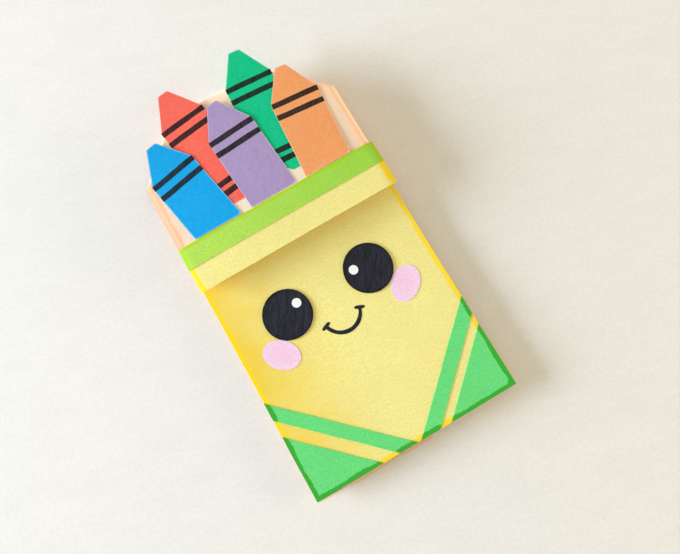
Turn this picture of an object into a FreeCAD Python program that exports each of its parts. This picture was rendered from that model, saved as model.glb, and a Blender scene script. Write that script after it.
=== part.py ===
"""Paper bag puppet: a flat-bottomed paper lunch bag lying on its back.

The bag's folded-over bottom is the puppet's upper jaw. It carries five paper crayons and a glued
strip. The face is a sheet glued to the bag's front wall below it.

Axes: +X across the bag to the viewer's right, +Y towards the top fold, +Z up from the table.
Origin: the middle of the back wall's outer face. All sizes are in millimetres.
"""
import FreeCAD, Part
import math
import os

import Sketcher

os.makedirs("parts", exist_ok=True)
doc = FreeCAD.newDocument("PaperBagPuppet")

# ---------------------------------------------------------------- driving dimensions
SIZES = [
    # the bag
    ("paper", 0.3, "thickness of the bag's walls as modelled"),
    ("bag_width", 152, "width of the flat bag"),
    ("bag_length", 279, "back wall, open end to top fold"),
    ("front_short", 3.5, "front wall stops this much short of the back wall"),
    ("corner_cut", 33, "45 degree corners at the top fold, leg length"),
    ("hand_gap", 5.7, "clear height for the hand between back and front wall"),
    ("gusset_depth", 46, "depth of each side pleat"),
    ("pleat_clear", 0.3, "gap between the two halves of a side pleat"),
    ("seam_width", 22, "glued overlap along the middle of the back wall"),
    # the upper jaw, folded over from the bag's bottom
    ("flap_length", 115.5, "top fold to the jaw's free edge"),
    ("flap_rise", 8.7, "front wall to the underside of the jaw's top panel"),
    ("crease_setback", 46, "top fold to the mouth crease"),
    ("mouth_gap", 0.4, "clearance of the mouth lining over the front wall at the crease"),
    ("pocket_height", 5.8, "height of the jaw's side and lip folds"),
    ("side_lean", 4.5, "how far the jaw's folds lean outwards"),
    ("lip_lean", 2.0, "how far the lip leans inwards"),
    ("fold_clear", 0.3, "clearance between the top fold and the back wall"),
    # the glued sheets
    ("card", 0.25, "thickness of the glued coloured papers"),
    ("panel_tuck", 36, "how far the yellow sheet runs on under the jaw"),
    ("strip_past", 1.0, "yellow strip on the jaw's free edge, past the bag's width on each side"),
    ("strip_height", 34, "yellow strip, along Y"),
    ("strip_overhang", 2.4, "strip past the jaw's free edge"),
    ("strip_shift", 1.0, "strip sits this much to the right"),
    ("band_height", 16.2, "green band on the strip's upper part"),
    # green corners of the face sheet
    ("left_corner_up", 47.7, "left triangle, up the side edge"),
    ("left_corner_along", 50, "left triangle, along the open end"),
    ("left_gap", 12, "yellow gap between triangle and stripe, along Y"),
    ("left_stripe", 13, "left stripe, along Y"),
    ("right_corner_up", 46.2, "right triangle, up the side edge"),
    ("right_corner_along", 50, "right triangle, along the open end"),
    ("right_gap", 8.2, "yellow gap between triangle and stripe, along Y"),
    ("right_stripe", 13.4, "right stripe, along Y"),
    # face
    ("eye_radius", 17.6, "black discs"),
    ("eye_height", 116.7, "eyes above the open end of the front wall"),
    ("left_eye_out", 33, "left eye from the middle"),
    ("right_eye_out", 31, "right eye from the middle"),
    ("glint_radius", 3.3, "white dots on the eyes"),
    ("glint_in", 9.4, "glint from the eye's centre, towards the middle"),
    ("glint_up", 4.0, "glint above the eye's centre"),
    ("cheek_long", 13.2, "cheek oval, long half axis"),
    ("cheek_short", 9.9, "cheek oval, short half axis"),
    ("cheek_out", 16.8, "cheek from the eye's centre, outwards"),
    ("cheek_down", 22, "cheek below the eye's centre"),
    ("cheek_turn", 44, "cheek's long axis from the X direction"),
    # crayons
    ("crayon_width", 35.6, "width of a crayon"),
    ("crayon_tip", 8, "flat end of the point"),
    ("crayon_taper", 24.5, "length of the point"),
    ("front_foot", 0.6, "gap between the green band and the three front crayons"),
    ("back_foot", 9.2, "gap between the green band and the two back crayons"),
]
# name, row (True is the back row), foot's X, lean to the left in degrees, foot to shoulder
CRAYONS = [
    ("red", True, -20.3, 7.2, 74),
    ("green", True, 20.6, -3.6, 75.5),
    ("blue", False, -43.6, 10.8, 52),
    ("purple", False, 0.4, 4.2, 57),
    ("orange", False, 43.4, -4.6, 56.6),
]
for colour, _, foot_x, lean, shaft in CRAYONS:
    SIZES.append((colour + "_foot", foot_x, colour + " crayon, middle of its foot along X"))
    SIZES.append((colour + "_lean", lean, colour + " crayon, lean to the left in degrees"))
    SIZES.append((colour + "_shaft", shaft, colour + " crayon, foot to shoulder"))

sheet = doc.addObject("Spreadsheet::Sheet", "Sizes")
for row, (alias, value, meaning) in enumerate(SIZES, start=1):
    sheet.set(f"A{row}", meaning)
    sheet.set(f"B{row}", str(value))
    sheet.setAlias(f"B{row}", alias)
doc.recompute()

# ---------------------------------------------------------------- places worked out from them
HALF = "Sizes.bag_width / 2"
FOLD_Y = "Sizes.bag_length / 2"
OPEN_Y = "(0 - Sizes.bag_length / 2)"
FRONT_OPEN_Y = f"({OPEN_Y} + Sizes.front_short)"
CREASE_Y = f"({FOLD_Y} - Sizes.crease_setback)"
LIP_Y = f"({FOLD_Y} - Sizes.flap_length)"
CUT_Y = f"({FOLD_Y} - Sizes.corner_cut)"
CUT_X = f"({HALF} - Sizes.corner_cut)"
FLAP_HALF = f"({HALF} - Sizes.side_lean)"
STRIP_LOW_Y = f"({LIP_Y} - Sizes.strip_overhang)"
STRIP_TOP_Y = f"({STRIP_LOW_Y} + Sizes.strip_height)"

FRONT_Z = "(Sizes.paper + Sizes.hand_gap)"
FACE_Z = f"({FRONT_Z} + Sizes.paper)"
PATCH_Z = f"({FACE_Z} + Sizes.card)"
GLINT_Z = f"({PATCH_Z} + Sizes.card)"
FLAP_Z = f"({FACE_Z} + Sizes.flap_rise)"
STRIP_Z = f"({FLAP_Z} + Sizes.paper)"
BAND_Z = f"({STRIP_Z} + Sizes.card)"
POCKET_Z = f"({FLAP_Z} - Sizes.pocket_height)"

SUB_PARTS = []


def keep(feature, name):
    """Name a finished sub-part and put it on the list that is checked and written."""
    feature.Label = name
    SUB_PARTS.append(feature)
    return feature


def outline_body(name, corners, thickness, plane="XY", both_ways=False):
    """A PartDesign body: a straight-sided outline in a plane, padded to a plate.

    Each corner is a pair of expressions. The sketch starts as a regular polygon, and its
    constraints, bound to the sheet, carry each corner to its place.
    """
    body = doc.addObject("PartDesign::Body", name)
    sketch = body.newObject("Sketcher::SketchObject", name + "_outline")
    origin_plane = next(f for f in body.Origin.OriginFeatures if f.Role == plane + "_Plane")
    sketch.AttachmentSupport = (origin_plane, [""])
    sketch.MapMode = "FlatFace"
    count = len(corners)
    start_radius = 50  # only where the polygon starts out: the constraints then move each corner
    starts = []
    for i in range(count):
        angle = 2 * math.pi * i / count
        starts.append(FreeCAD.Vector(start_radius * math.cos(angle), start_radius * math.sin(angle), 0))
    for i in range(count):
        sketch.addGeometry(Part.LineSegment(starts[i], starts[(i + 1) % count]))
    for i in range(count):
        sketch.addConstraint(Sketcher.Constraint("Coincident", i, 2, (i + 1) % count, 1))
    for i, (across, along) in enumerate(corners):
        for kind, value, expression in (
            ("DistanceX", starts[i].x, across),
            ("DistanceY", starts[i].y, along),
        ):
            index = sketch.addConstraint(Sketcher.Constraint(kind, -1, 1, i, 1, value))
            sketch.setExpression(f"Constraints[{index}]", expression)
    pad = body.newObject("PartDesign::Pad", name + "_pad")
    pad.Profile = sketch
    pad.SideType = "Symmetric" if both_ways else "One side"
    pad.setExpression("Length", thickness)
    body.Tip = pad
    return keep(body, name)


def place(feature, x="0", y="0", z="0", turn=None):
    """Bind a sub-part's Placement: where its own origin goes and its turn about +Z."""
    if turn is not None:
        feature.Placement = FreeCAD.Placement(FreeCAD.Vector(), FreeCAD.Rotation(FreeCAD.Vector(0, 0, 1), 1))
        feature.setExpression("Placement.Rotation.Angle", turn)
    for axis, expression in (("x", x), ("y", y), ("z", z)):
        feature.setExpression("Placement.Base." + axis, expression)


def sheet_plate(name, corners, z, thickness="Sizes.card"):
    """A flat sheet of paper lying at height z."""
    body = outline_body(name, corners, thickness)
    place(body, z=z)
    return body


def clipped_sheet(half_width, low_y, cut_x, cut_y, top_y):
    """Corners of a sheet whose two top corners are cut off."""
    return [
        (f"0 - {half_width}", low_y), (half_width, low_y), (half_width, cut_y),
        (cut_x, top_y), (f"0 - {cut_x}", top_y), (f"0 - {half_width}", cut_y),
    ]


# ---------------------------------------------------------------- the bag's back
def make_back():
    """Back wall, its glued seam and the back halves of the side pleats."""
    sheet_plate("back_wall", clipped_sheet(HALF, OPEN_Y, CUT_X, CUT_Y, FOLD_Y), "0", "Sizes.paper")
    seam_half = "Sizes.seam_width / 2"
    sheet_plate("back_seam", [
        (f"0 - {seam_half}", OPEN_Y), (seam_half, OPEN_Y), (seam_half, CUT_Y), (f"0 - {seam_half}", CUT_Y),
    ], "Sizes.paper")


def make_pleats():
    """Side pleats: a back half and a front half on each side, leaning to a common inner crease."""
    edge = HALF
    inner = f"({HALF} - Sizes.gusset_depth)"
    middle = "(Sizes.paper + Sizes.hand_gap / 2)"
    length = f"{CUT_Y} - {FRONT_OPEN_Y}"
    crease_low = f"({middle} - Sizes.pleat_clear / 2 - Sizes.card)"
    crease_high = f"({middle} + Sizes.pleat_clear / 2)"
    halves = {
        "back": ("Sizes.paper", crease_low),
        "front": (f"({FRONT_Z} - Sizes.card)", crease_high),
    }
    for side, sign in (("left", "-1"), ("right", "1")):
        for half, (edge_z, crease_z) in halves.items():
            body = outline_body(f"{side}_pleat_{half}", [
                (f"{sign} * {edge}", edge_z), (f"{sign} * {inner}", crease_z),
                (f"{sign} * {inner}", f"{crease_z} + Sizes.card"), (f"{sign} * {edge}", f"{edge_z} + Sizes.card"),
            ], length, plane="XZ")
            place(body, y=CUT_Y)


# ---------------------------------------------------------------- the bag's front and the face
def make_front():
    """Front wall up to the mouth crease, with the yellow face sheet glued on."""
    sheet_plate("front_wall", [
        (f"0 - {HALF}", FRONT_OPEN_Y), (HALF, FRONT_OPEN_Y), (HALF, CREASE_Y), (f"0 - {HALF}", CREASE_Y),
    ], FRONT_Z, "Sizes.paper")
    tuck_y = f"{LIP_Y} + Sizes.panel_tuck"
    sheet_plate("face_sheet", [
        (f"0 - {HALF}", FRONT_OPEN_Y), (HALF, FRONT_OPEN_Y), (HALF, tuck_y), (f"0 - {HALF}", tuck_y),
    ], FACE_Z)


def make_corners():
    """Green triangle and stripe in each lower corner; the stripe runs parallel to the triangle."""
    for side, sign in (("left", "-1"), ("right", "1")):
        up = f"Sizes.{side}_corner_up"
        along = f"Sizes.{side}_corner_along"
        gap = f"Sizes.{side}_gap"
        stripe = f"Sizes.{side}_stripe"
        edge = f"{sign} * {HALF}"

        def on_side(rise):
            return edge, f"{FRONT_OPEN_Y} + {rise}"

        def on_end(rise):
            return f"{sign} * ({HALF} - ({rise}) * {along} / {up})", FRONT_OPEN_Y

        sheet_plate(f"{side}_corner", [(edge, FRONT_OPEN_Y), on_side(up), on_end(up)], PATCH_Z)
        low = f"{up} + {gap}"
        high = f"{up} + {gap} + {stripe}"
        sheet_plate(f"{side}_stripe", [on_side(low), on_side(high), on_end(high), on_end(low)], PATCH_Z)


def disc(name, radius, height="Sizes.card"):
    """A round paper disc centred on its own origin."""
    cylinder = doc.addObject("Part::Cylinder", name)
    cylinder.setExpression("Radius", radius)
    cylinder.setExpression("Height", height)
    return cylinder


def make_face():
    """Eyes with their glints, and the cheeks, which are trimmed to the eyes' edges."""
    eye_y = f"({FRONT_OPEN_Y} + Sizes.eye_height)"
    for side, sign in (("left", "-1"), ("right", "1")):
        eye_x = f"({sign} * Sizes.{side}_eye_out)"
        eye = keep(disc(f"{side}_eye", "Sizes.eye_radius"), f"{side}_eye")
        place(eye, eye_x, eye_y, PATCH_Z)
        glint = keep(disc(f"{side}_glint", "Sizes.glint_radius"), f"{side}_glint")
        place(glint, f"{eye_x} - {sign} * Sizes.glint_in", f"{eye_y} + Sizes.glint_up", GLINT_Z)

        oval = doc.addObject("Part::Ellipse", f"{side}_cheek_oval")
        oval.setExpression("MajorRadius", "Sizes.cheek_long")
        oval.setExpression("MinorRadius", "Sizes.cheek_short")
        place(oval, f"{eye_x} + {sign} * Sizes.cheek_out", f"{eye_y} - Sizes.cheek_down", PATCH_Z,
              turn=f"{sign} * Sizes.cheek_turn")
        blank = doc.addObject("Part::Extrusion", f"{side}_cheek_blank")
        blank.Base = oval
        blank.DirMode = "Custom"
        blank.Dir = FreeCAD.Vector(0, 0, 1)
        blank.Solid = True
        blank.setExpression("LengthFwd", "Sizes.card")
        # the trimmer is taller than the cheek by one card below and one above
        trimmer = disc(f"{side}_cheek_trimmer", "Sizes.eye_radius", "3 * Sizes.card")
        place(trimmer, eye_x, eye_y, f"{PATCH_Z} - Sizes.card")
        cheek = doc.addObject("Part::Cut", f"{side}_cheek")
        cheek.Base = blank
        cheek.Tool = trimmer
        keep(cheek, f"{side}_cheek")


# ---------------------------------------------------------------- the upper jaw
def make_jaw():
    """Top panel, side and corner folds, lip, top fold and mouth lining of the folded-over bottom."""
    top = f"({FLAP_Z} + Sizes.paper)"
    inset_cut = f"({FLAP_HALF} - Sizes.corner_cut)"
    sheet_plate("jaw_panel", clipped_sheet(FLAP_HALF, LIP_Y, inset_cut, CUT_Y, FOLD_Y), FLAP_Z, "Sizes.paper")

    wall = "Sizes.paper"
    for side, sign in (("left", "-1"), ("right", "1")):
        fold = outline_body(f"jaw_side_{side}", [
            (f"{sign} * {FLAP_HALF}", top), (f"{sign} * {FLAP_HALF}", FLAP_Z),
            (f"{sign} * ({HALF} - {wall})", POCKET_Z), (f"{sign} * {HALF}", POCKET_Z),
        ], f"{CUT_Y} - {LIP_Y}", plane="XZ")
        place(fold, y=CUT_Y)

        # the corner fold is drawn along +X from the panel's cut edge and turned to face the corner
        drop = "(Sizes.paper + Sizes.fold_clear)"
        lean = "Sizes.side_lean / 2"
        corner = outline_body(f"jaw_corner_{side}", [
            ("0", top), ("0", FLAP_Z), (f"{lean} - {wall}", drop), (lean, drop),
        ], "Sizes.corner_cut * sqrt(2) - Sizes.side_lean", plane="XZ", both_ways=True)
        place(corner, f"{sign} * ({FLAP_HALF} - Sizes.corner_cut / 2)", f"{FOLD_Y} - Sizes.corner_cut / 2",
              turn="45" if sign == "1" else "135")

    lip = outline_body("jaw_lip", [
        (LIP_Y, FLAP_Z), (f"{LIP_Y} + {wall}", FLAP_Z),
        (f"{LIP_Y} + Sizes.lip_lean + {wall}", POCKET_Z), (f"{LIP_Y} + Sizes.lip_lean", POCKET_Z),
    ], f"2 * {FLAP_HALF}", plane="YZ", both_ways=True)
    place(lip)

    crease_z = f"({FACE_Z} + Sizes.mouth_gap)"
    lining = outline_body("mouth_lining", [
        (f"{LIP_Y} + Sizes.lip_lean", POCKET_Z), (f"{LIP_Y} + Sizes.lip_lean", f"{POCKET_Z} - Sizes.paper"),
        (CREASE_Y, crease_z), (CREASE_Y, f"{crease_z} + Sizes.paper"),
    ], f"2 * {HALF}", plane="YZ", both_ways=True)
    place(lining)


def make_top_fold():
    """Half-round fold joining the jaw's top panel to the line where it hinges on the back wall."""
    body = doc.addObject("PartDesign::Body", "top_fold")
    sketch = body.newObject("Sketcher::SketchObject", "top_fold_profile")
    plane = next(f for f in body.Origin.OriginFeatures if f.Role == "YZ_Plane")
    sketch.AttachmentSupport = (plane, [""])
    sketch.MapMode = "FlatFace"
    centre = FreeCAD.Vector(0, 0, 0)
    up = FreeCAD.Vector(0, 0, 1)
    outer_radius, inner_radius = 8, 7
    quarter = math.pi / 2
    for radius in (outer_radius, inner_radius):
        circle = Part.Circle(centre, up, radius)
        sketch.addGeometry(Part.ArcOfCircle(circle, -quarter, quarter))
    for level in (-1, 1):
        sketch.addGeometry(Part.LineSegment(FreeCAD.Vector(0, level * inner_radius, 0),
                                            FreeCAD.Vector(0, level * outer_radius, 0)))
    # arcs 0 and 1 share a centre; lines 2 (low) and 3 (high) close the strip
    for constraint in (
        ("Coincident", 0, 3, 1, 3), ("PointOnObject", 0, 3, -2),
        ("Coincident", 2, 1, 1, 1), ("Coincident", 2, 2, 0, 1),
        ("Coincident", 3, 1, 1, 2), ("Coincident", 3, 2, 0, 2),
        ("PointOnObject", 2, 1, -2), ("PointOnObject", 2, 2, -2), ("PointOnObject", 3, 2, -2),
    ):
        sketch.addConstraint(Sketcher.Constraint(*constraint))
    low = "(Sizes.paper + Sizes.fold_clear)"
    high = f"({FLAP_Z} + Sizes.paper)"
    for kind, geometry, point, value, expression in (
        ("DistanceY", 0, 3, 0, f"({low} + {high}) / 2"),
        ("Radius", 0, None, outer_radius, f"({high} - {low}) / 2"),
        ("Radius", 1, None, inner_radius, f"({high} - {low}) / 2 - Sizes.paper"),
    ):
        if point is None:
            index = sketch.addConstraint(Sketcher.Constraint(kind, geometry, value))
        else:
            index = sketch.addConstraint(Sketcher.Constraint(kind, -1, 1, geometry, point, value))
        sketch.setExpression(f"Constraints[{index}]", expression)
    pad = body.newObject("PartDesign::Pad", "top_fold_pad")
    pad.Profile = sketch
    pad.SideType = "Symmetric"
    pad.setExpression("Length", f"2 * ({FLAP_HALF} - Sizes.corner_cut)")
    body.Tip = pad
    keep(body, "top_fold")
    place(body, y=FOLD_Y)


def make_strip():
    """Yellow strip along the jaw's free edge and the green band on its upper part."""
    left = f"Sizes.strip_shift - ({HALF} + Sizes.strip_past)"
    right = f"Sizes.strip_shift + {HALF} + Sizes.strip_past"
    band_low_y = f"{STRIP_TOP_Y} - Sizes.band_height"
    sheet_plate("jaw_strip", [
        (left, STRIP_LOW_Y), (right, STRIP_LOW_Y), (right, STRIP_TOP_Y), (left, STRIP_TOP_Y),
    ], STRIP_Z)
    sheet_plate("jaw_band", [
        (left, band_low_y), (right, band_low_y), (right, STRIP_TOP_Y), (left, STRIP_TOP_Y),
    ], BAND_Z)


def make_crayons():
    """Five paper crayons: two glued on the jaw's panel and three over them.

    Each is drawn upright from the middle of its foot and turned by its lean. The foot is cut
    level with the band, so its two corners are not square to the shaft.
    """
    half = "Sizes.crayon_width / 2"
    half_tip = "Sizes.crayon_tip / 2"
    for colour, back_row, *_ in CRAYONS:
        shaft = f"Sizes.{colour}_shaft"
        foot_rise = f"{half} * tan(Sizes.{colour}_lean * 1deg)"
        body = outline_body(f"crayon_{colour}", [
            (f"0 - {half}", f"{foot_rise}"), (f"0 - {half}", shaft),
            (f"0 - {half_tip}", f"{shaft} + Sizes.crayon_taper"), (half_tip, f"{shaft} + Sizes.crayon_taper"),
            (half, shaft), (half, f"0 - {foot_rise}"),
        ], "Sizes.card")
        foot_gap = "Sizes.back_foot" if back_row else "Sizes.front_foot"
        place(body, f"Sizes.{colour}_foot", f"{STRIP_TOP_Y} + {foot_gap}",
              STRIP_Z if back_row else BAND_Z, turn=f"Sizes.{colour}_lean")


make_back()
make_pleats()
make_front()
make_corners()
make_face()
make_jaw()
make_top_fold()
make_strip()
make_crayons()
doc.recompute()

# ---------------------------------------------------------------- check, then write
for item in doc.Objects:
    if "Invalid" in item.State or "Error" in item.State:
        raise RuntimeError(f"{item.Label} did not recompute: {item.State}")
for item in SUB_PARTS:
    if item.Shape.isNull() or not item.Shape.isValid() or len(item.Shape.Solids) != 1:
        raise RuntimeError(f"{item.Label} is not one valid solid")
for item in SUB_PARTS:
    item.Shape.exportStep(os.path.join("parts", item.Label + ".step"))
print(len(SUB_PARTS), "sub-parts written")
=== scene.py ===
"""Paper bag puppet: the looks, built as an add-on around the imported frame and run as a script."""

import math

import bpy
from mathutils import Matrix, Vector, noise


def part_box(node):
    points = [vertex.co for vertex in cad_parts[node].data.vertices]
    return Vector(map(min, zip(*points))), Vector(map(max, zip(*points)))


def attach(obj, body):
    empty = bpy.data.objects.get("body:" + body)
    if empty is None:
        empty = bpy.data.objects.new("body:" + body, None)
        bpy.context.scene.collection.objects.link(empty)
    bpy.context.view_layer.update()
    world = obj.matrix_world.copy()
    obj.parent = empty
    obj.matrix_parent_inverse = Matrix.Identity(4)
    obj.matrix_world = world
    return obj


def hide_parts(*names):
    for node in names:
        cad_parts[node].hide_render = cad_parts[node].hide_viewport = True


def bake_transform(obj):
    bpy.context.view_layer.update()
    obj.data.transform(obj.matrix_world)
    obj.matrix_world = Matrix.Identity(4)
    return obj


bl_info = {
    "name": "Paper Bag Puppet",
    "version": (1, 0, 0),
    "blender": (4, 5, 0),
    "location": "3D View > Sidebar > Puppet",
    "description": "Builds a paper bag puppet piece by piece around its packed frame",
    "category": "Add Mesh",
}

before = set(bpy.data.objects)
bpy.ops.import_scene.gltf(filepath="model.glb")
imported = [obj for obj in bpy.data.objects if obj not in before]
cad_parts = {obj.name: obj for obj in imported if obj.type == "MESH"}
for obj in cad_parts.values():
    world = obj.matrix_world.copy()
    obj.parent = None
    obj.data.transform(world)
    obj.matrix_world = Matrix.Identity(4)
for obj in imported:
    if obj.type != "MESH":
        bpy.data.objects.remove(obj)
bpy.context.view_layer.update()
MM = 0.001
HAIR = 0.01 * MM        # slack when two places are compared, and the step between two films
GAP = 0.05 * MM         # air between sheets that lie on each other
DECIMALS = 6            # of a metre, enough to tell two points apart
TURN_ZONE = 4.0         # millimetres inside the jaw's bends where the painted shade and glow of the bends begin
WEB_TURN = 4.5 * MM     # how far past the jaw's bends the corner webs count as turned, so they take the painted shade and glow of the jaw's sides
FAR = 1.0               # a depth in metres that no marker reaches
CRAYONS = ("red", "green", "blue", "purple", "orange")

noise.seed_set(1)       # noise_vector starts from the clock without this, and no two runs agree


# ---------------------------------------------------------------- places taken from the frame
def node_outline(node):
    """The corners of a flat node seen from above, anticlockwise."""
    points = sorted({(round(v.co.x, DECIMALS), round(v.co.y, DECIMALS))
                     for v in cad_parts[node].data.vertices})
    straight = 1e-9

    def half_hull(ordered):
        hull = []
        for p in ordered:
            while len(hull) > 1:
                a, b = hull[-2], hull[-1]
                turn = (b[0] - a[0]) * (p[1] - a[1]) - (b[1] - a[1]) * (p[0] - a[0])
                if turn > straight:
                    break
                hull.pop()
            hull.append(p)
        return hull[:-1]

    return [Vector(p) for p in half_hull(points) + half_hull(points[::-1])]


def centre_of(node):
    low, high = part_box(node)
    return (low + high) / 2


BACK_LOW, BACK_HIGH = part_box("back_wall")
FRONT_LOW, FRONT_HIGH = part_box("front_wall")
FACE_LOW, FACE_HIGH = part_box("face_sheet")
PANEL_LOW, PANEL_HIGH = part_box("jaw_panel")
SIDE_LOW, SIDE_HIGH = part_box("jaw_side_right")
LINING_LOW, LINING_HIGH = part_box("mouth_lining")
LIP_LOW, LIP_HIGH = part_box("jaw_lip")
FOLD_LOW, FOLD_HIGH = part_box("top_fold")
PLEAT_LOW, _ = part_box("right_pleat_back")
HALF = BACK_HIGH.x      # half the bag's width
FOLD_Y = BACK_HIGH.y    # the top fold
CUT_Y = SIDE_HIGH.y     # where the sides end and the cut corners begin
CUT_X = max(p.x for p in node_outline("back_wall") if p.y > FOLD_Y - MM)
POCKET_Z = SIDE_LOW.z   # the jaw's lower edge


def srgb(red, green, blue):
    """A screen colour of 0 to 255 as the linear colour that shaders use."""
    def linear(value):
        value /= 255
        return value / 12.92 if value <= 0.04045 else ((value + 0.055) / 1.055) ** 2.4
    return linear(red), linear(green), linear(blue)


def toned(colour, by, plus=0.0):
    """A colour made darker or lighter."""
    return tuple(min(1.0, c * by + plus) for c in colour)


# ---------------------------------------------------------------- what a user may change
def length(name, default, description):
    return bpy.props.FloatProperty(name=name, default=default, description=description,
                                   unit="LENGTH", subtype="DISTANCE", precision=5)


def colour(name, default, description):
    return bpy.props.FloatVectorProperty(name=name, default=default, description=description,
                                         subtype="COLOR", size=3, min=0.0, max=1.0)


class PuppetSizes(bpy.types.PropertyGroup):
    grid_step: length("Grid step", 3.0 * MM, "Spacing of the mesh that each sheet is cut from")
    bag_thickness: length("Bag paper", 0.16 * MM, "Thickness of the bag's kraft paper")
    card_thickness: length("Craft paper", 0.2 * MM, "Thickness of the glued coloured papers")
    ink_thickness: length("Ink film", 0.03 * MM, "Thickness of a drawn marker line")
    ripple: length("Ripple", 1.1 * MM, "Height of the gentle waves in the paper")
    crown: length("Crown", 1.3 * MM, "How much the puffed jaw rises in its middle")
    side_swell: length("Side swell", 1.2 * MM, "How far the jaw's turned-down sides belly out")
    tip_curl: length("Tip curl", 1.1 * MM, "How far the crayons' free tips lift")
    crayon_band: length("Crayon band", 4.2 * MM, "Width of a crayon's black band")
    band_pitch: length("Band pitch", 9.6 * MM, "Distance between a crayon's two bands")
    edge_marker: length("Edge marker", 3.2 * MM, "Width of the marker drawn along a cut edge")
    smile_width: length("Smile width", 2.9 * MM, "Width of the smile's line")
    smile_radius: length("Smile radius", 13.6 * MM, "Radius of the smile's arc")
    smile_drop: length("Smile drop", 17.0 * MM, "Smile's centre below the eyes' centres")


class PuppetColours(bpy.types.PropertyGroup):
    kraft: colour("Kraft", srgb(252, 234, 208), "The bag's paper")
    # Painted shade: a darker, warmer tone towards the edges of each kraft piece, strongest at the
    # jaw's rounded folds.
    kraft_fold_shade: colour("Kraft at folds", srgb(252, 214, 180), "The bag's paper near its folds")
    # Painted shade along the jaw's bends, where its sides turn down; heavier on the window side.
    kraft_bend_shade: colour("Kraft bends", srgb(229, 168, 118), "Where the jaw's sides turn down")
    kraft_glow: colour("Kraft glow", srgb(240, 190, 164), "What shines through the jaw's far side")
    # Painted shade: the turned-down side towards the window, darkened against the window light
    # falling on it.
    kraft_window_side_shade: colour("Kraft sides", srgb(160, 116, 80), "The jaw's side towards the window")
    yellow: colour("Yellow", srgb(253, 243, 152), "Face sheet and strip")
    # Painted shade, deepening the face sheet's yellow towards its left.
    yellow_left_shade: colour("Deep yellow", srgb(239, 208, 64), "Face sheet's left, rubbed with marker")
    yellow_marker: colour("Yellow marker", srgb(255, 221, 0), "Marker along the yellow edges")
    lime_marker: colour("Light green marker", srgb(168, 212, 30), "Marker along the band's edges")
    lime_deep: colour("Deep light green", srgb(122, 208, 44), "Band marked over twice")
    lime: colour("Light green", srgb(183, 231, 89), "Band on the jaw's strip")
    green: colour("Green", srgb(109, 230, 130), "Corners and stripes")
    green_marker: colour("Green marker", srgb(50, 165, 30), "Marker along the green edges")
    black: colour("Black", srgb(29, 31, 40), "Eyes, smile")
    white: colour("White", srgb(250, 250, 250), "Glints")
    pink: colour("Pink", srgb(253, 218, 245), "Cheeks")
    cheek_middle: colour("Cheek middle", srgb(251, 190, 196), "Middle of the cheeks")
    crayon_red: colour("Red crayon", srgb(254, 112, 94), "Red crayon's paper")
    crayon_green: colour("Green crayon", srgb(2, 205, 144), "Green crayon's paper")
    crayon_blue: colour("Blue crayon", srgb(3, 173, 239), "Blue crayon's paper")
    crayon_purple: colour("Purple crayon", srgb(177, 157, 201), "Purple crayon's paper")
    crayon_orange: colour("Orange crayon", srgb(253, 172, 109), "Orange crayon's paper")
    floor: colour("Floor", srgb(238, 238, 230), "The surface it lies on")


def sizes():
    return bpy.context.scene.puppet_sizes


def colours():
    return bpy.context.scene.puppet_colours


# ---------------------------------------------------------------- modelling helpers
def select_only(piece=None):
    """Leave nothing selected but the piece, if one is given."""
    bpy.ops.object.select_all(action="DESELECT")
    if piece is not None:
        piece.select_set(True)
        bpy.context.view_layer.objects.active = piece


def finish_primitive(name):
    """Name the primitive just added and carry its place and size into its mesh."""
    piece = bpy.context.object
    piece.name = name
    piece.data.name = name
    bpy.ops.object.transform_apply(location=True, rotation=True, scale=True)
    return piece


def add_grid(name, low, high, z, step=None):
    """A flat grid over a rectangle."""
    step = step or sizes().grid_step
    width, depth = high[0] - low[0], high[1] - low[1]
    select_only()
    bpy.ops.mesh.primitive_grid_add(
        x_subdivisions=max(2, round(width / step)), y_subdivisions=max(2, round(depth / step)),
        size=1, location=((low[0] + high[0]) / 2, (low[1] + high[1]) / 2, z))
    bpy.context.object.scale = (width, depth, 1)
    return finish_primitive(name)


def in_edit_mode(piece, work, chosen=None):
    """Run work with the piece alone in edit mode and its chosen points, or all, selected."""
    select_only(piece)
    bpy.ops.object.mode_set(mode="EDIT")
    bpy.ops.mesh.select_all(action="DESELECT" if chosen else "SELECT")
    if chosen:
        bpy.ops.object.mode_set(mode="OBJECT")
        for vertex in piece.data.vertices:
            vertex.select = chosen(vertex)
        bpy.ops.object.mode_set(mode="EDIT")
    work()
    bpy.ops.object.mode_set(mode="OBJECT")


def even_normals(piece):
    """Merge a sheet's doubled points and make its faces agree, upwards where it lies flat."""
    def merge():
        bpy.ops.mesh.remove_doubles(threshold=HAIR / 2)
        bpy.ops.mesh.normals_make_consistent(inside=False)

    in_edit_mode(piece, merge)
    if sum(face.normal.z * face.area for face in piece.data.polygons) < 0:
        in_edit_mode(piece, bpy.ops.mesh.flip_normals)


def cut_sheet(name, corners, z, step=None):
    """A flat sheet cut to a convex outline: a grid, trimmed along each side in turn."""
    xs, ys = [p.x for p in corners], [p.y for p in corners]
    spare = 0.5 * MM
    piece = add_grid(name, (min(xs) - spare, min(ys) - spare),
                     (max(xs) + spare, max(ys) + spare), z, step)
    for start, end in zip(corners, corners[1:] + corners[:1]):
        side = (end - start).normalized()

        def trim():
            bpy.ops.mesh.bisect(plane_co=(start.x, start.y, 0), plane_no=(side.y, -side.x, 0),
                                clear_outer=True, clear_inner=False, use_fill=False)

        in_edit_mode(piece, trim)
    return piece


def shaped_grid(name, columns, rows, place):
    """A grid whose every point goes to place(u, v), with u and v from 0 to 1."""
    select_only()
    bpy.ops.mesh.primitive_grid_add(x_subdivisions=columns, y_subdivisions=rows, size=1,
                                    location=(0.5, 0.5, 0))
    piece = finish_primitive(name)
    for vertex in piece.data.vertices:
        vertex.co = place(vertex.co.x, vertex.co.y)
    even_normals(piece)
    return piece


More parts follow.
